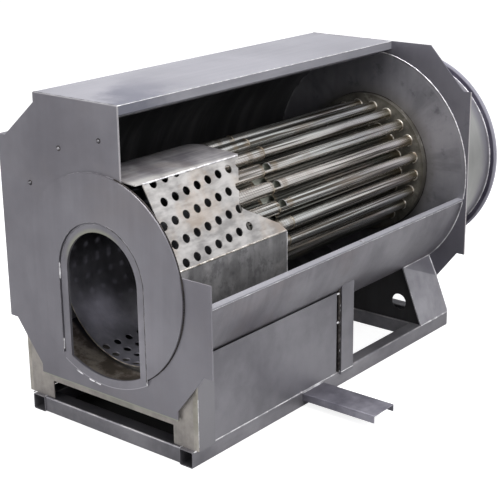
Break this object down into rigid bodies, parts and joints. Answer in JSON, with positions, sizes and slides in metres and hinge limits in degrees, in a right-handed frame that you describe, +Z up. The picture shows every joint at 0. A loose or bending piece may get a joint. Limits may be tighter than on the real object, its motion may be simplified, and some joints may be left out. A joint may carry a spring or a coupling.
{
  "type": "industrial boiler",
  "caption": "Cut-away horizontal fire-tube boiler: arched fire door, perforated firebox, tube bundle, trough shell and smokebox drum on a steel base frame.",
  "frame": {"origin": "centre of the bounding box on the floor plane under the rails", "axes": "-Y is the fire door end, +Y the smokebox drum, +X the cut-away side, +Z up"},
  "size_m": [1.844, 2.556, 1.565],
  "materials": {
    "casing_steel": "satin",
    "cover_steel": "satin",
    "frame_steel": "satin",
    "air_box_steel": "satin",
    "bright_sheet": "brushed",
    "sooted_sheet": "matt",
    "tube_plate_steel": "matt",
    "tube_steel": "brushed"
  },
  "bodies": {
    "root": {"combustion_drum": "sooted_sheet", "door_frame": "casing_steel", "drum_cradle_front": "sooted_sheet", "drum_cradle_rear": "sooted_sheet", "end_beam": "frame_steel", "firebox_crown": "bright_sheet", "firebox_sheet": "bright_sheet", "firebox_side_left": "sooted_sheet", "firebox_side_right": "sooted_sheet", "firebox_slope": "sooted_sheet", "front_beam": "frame_steel", "front_plate": "casing_steel", "front_ring": "casing_steel", "front_tube_plate": "tube_plate_steel", "inner_tubes": "tube_steel", "outer_tube_1": "tube_steel", "outer_tube_2": "tube_steel", "outer_tube_3": "tube_steel", "outer_tube_4": "tube_steel", "outer_tube_5": "tube_steel", "outer_tube_6": "tube_steel", "outer_tube_7": "tube_steel", "outer_tube_8": "tube_steel", "outer_tube_9": "tube_steel", "outer_tubes_lower": "tube_steel", "outrigger_left": "frame_steel", "outrigger_right": "frame_steel", "post_left": "frame_steel", "post_right": "frame_steel", "rail_left": "frame_steel", "rail_right": "frame_steel", "rear_beam": "frame_steel", "rear_plate": "casing_steel", "rear_tube_plate": "tube_plate_steel", "rim_flange": "cover_steel", "saddle_side_left": "frame_steel", "saddle_side_right": "frame_steel", "saddle_web": "frame_steel", "shell_lower": "casing_steel", "shell_upper": "casing_steel", "side_cover": "casing_steel", "skirt_back": "air_box_steel", "skirt_corner_left": "air_box_steel", "skirt_corner_right": "air_box_steel", "skirt_front": "air_box_steel", "skirt_left": "air_box_steel", "skirt_right": "air_box_steel", "smokebox_drum": "casing_steel", "smokebox_flange": "casing_steel", "top_cover": "cover_steel"}
  },
  "joints": []
}
